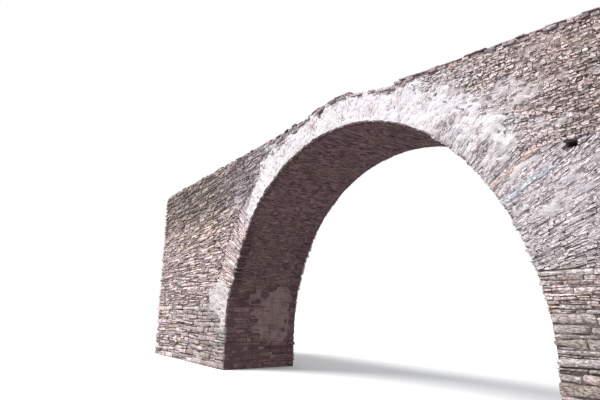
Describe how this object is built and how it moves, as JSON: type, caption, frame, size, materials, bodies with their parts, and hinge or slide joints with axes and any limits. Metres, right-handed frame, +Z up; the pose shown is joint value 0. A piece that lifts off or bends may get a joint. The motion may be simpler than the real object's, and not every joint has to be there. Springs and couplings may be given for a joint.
{
  "type": "stone arch bridge",
  "caption": "Humpbacked stone bridge with one semicircular arch, ringed by thin radial slabs, on coursed abutments with rubble walls and a paved road.",
  "frame": {"origin": "centre of the bounding box's bottom, on the ground under the middle of the arch", "axes": "+X along the road to the end at the right of the picture's near face, +Y across the bridge towards the far face, +Z up"},
  "size_m": [24.2, 2.9, 7.7489],
  "materials": {
    "block_stone": "rough",
    "slab_stone": "rough",
    "vault_stone": "rough",
    "rubble_core": "rough",
    "rubble_wall": "rough",
    "coping_stone": "rough",
    "paving_stone": "rough"
  },
  "bodies": {
    "root": {"abutment_left": "block_stone", "abutment_right": "block_stone", "approach_wall_far_left": "rubble_wall", "approach_wall_far_right": "rubble_wall", "approach_wall_near_left": "rubble_wall", "approach_wall_near_right": "rubble_wall", "coping_far_crown": "coping_stone", "coping_far_left": "coping_stone", "coping_far_right": "coping_stone", "coping_near_crown": "coping_stone", "coping_near_left": "coping_stone", "coping_near_right": "coping_stone", "core_left": "rubble_core", "core_right": "rubble_core", "paving_crown": "paving_stone", "paving_left": "paving_stone", "paving_right": "paving_stone", "ring_far_left": "slab_stone", "ring_far_right": "slab_stone", "ring_near_left": "slab_stone", "ring_near_right": "slab_stone", "spandrel_far_left": "rubble_wall", "spandrel_far_right": "rubble_wall", "spandrel_near_left": "rubble_wall", "spandrel_near_right": "rubble_wall", "springing_course_left": "slab_stone", "springing_course_right": "slab_stone", "vault_crown": "vault_stone", "vault_haunch_left": "vault_stone", "vault_haunch_right": "vault_stone", "vault_shoulder_left": "vault_stone", "vault_shoulder_right": "vault_stone"}
  },
  "joints": []
}
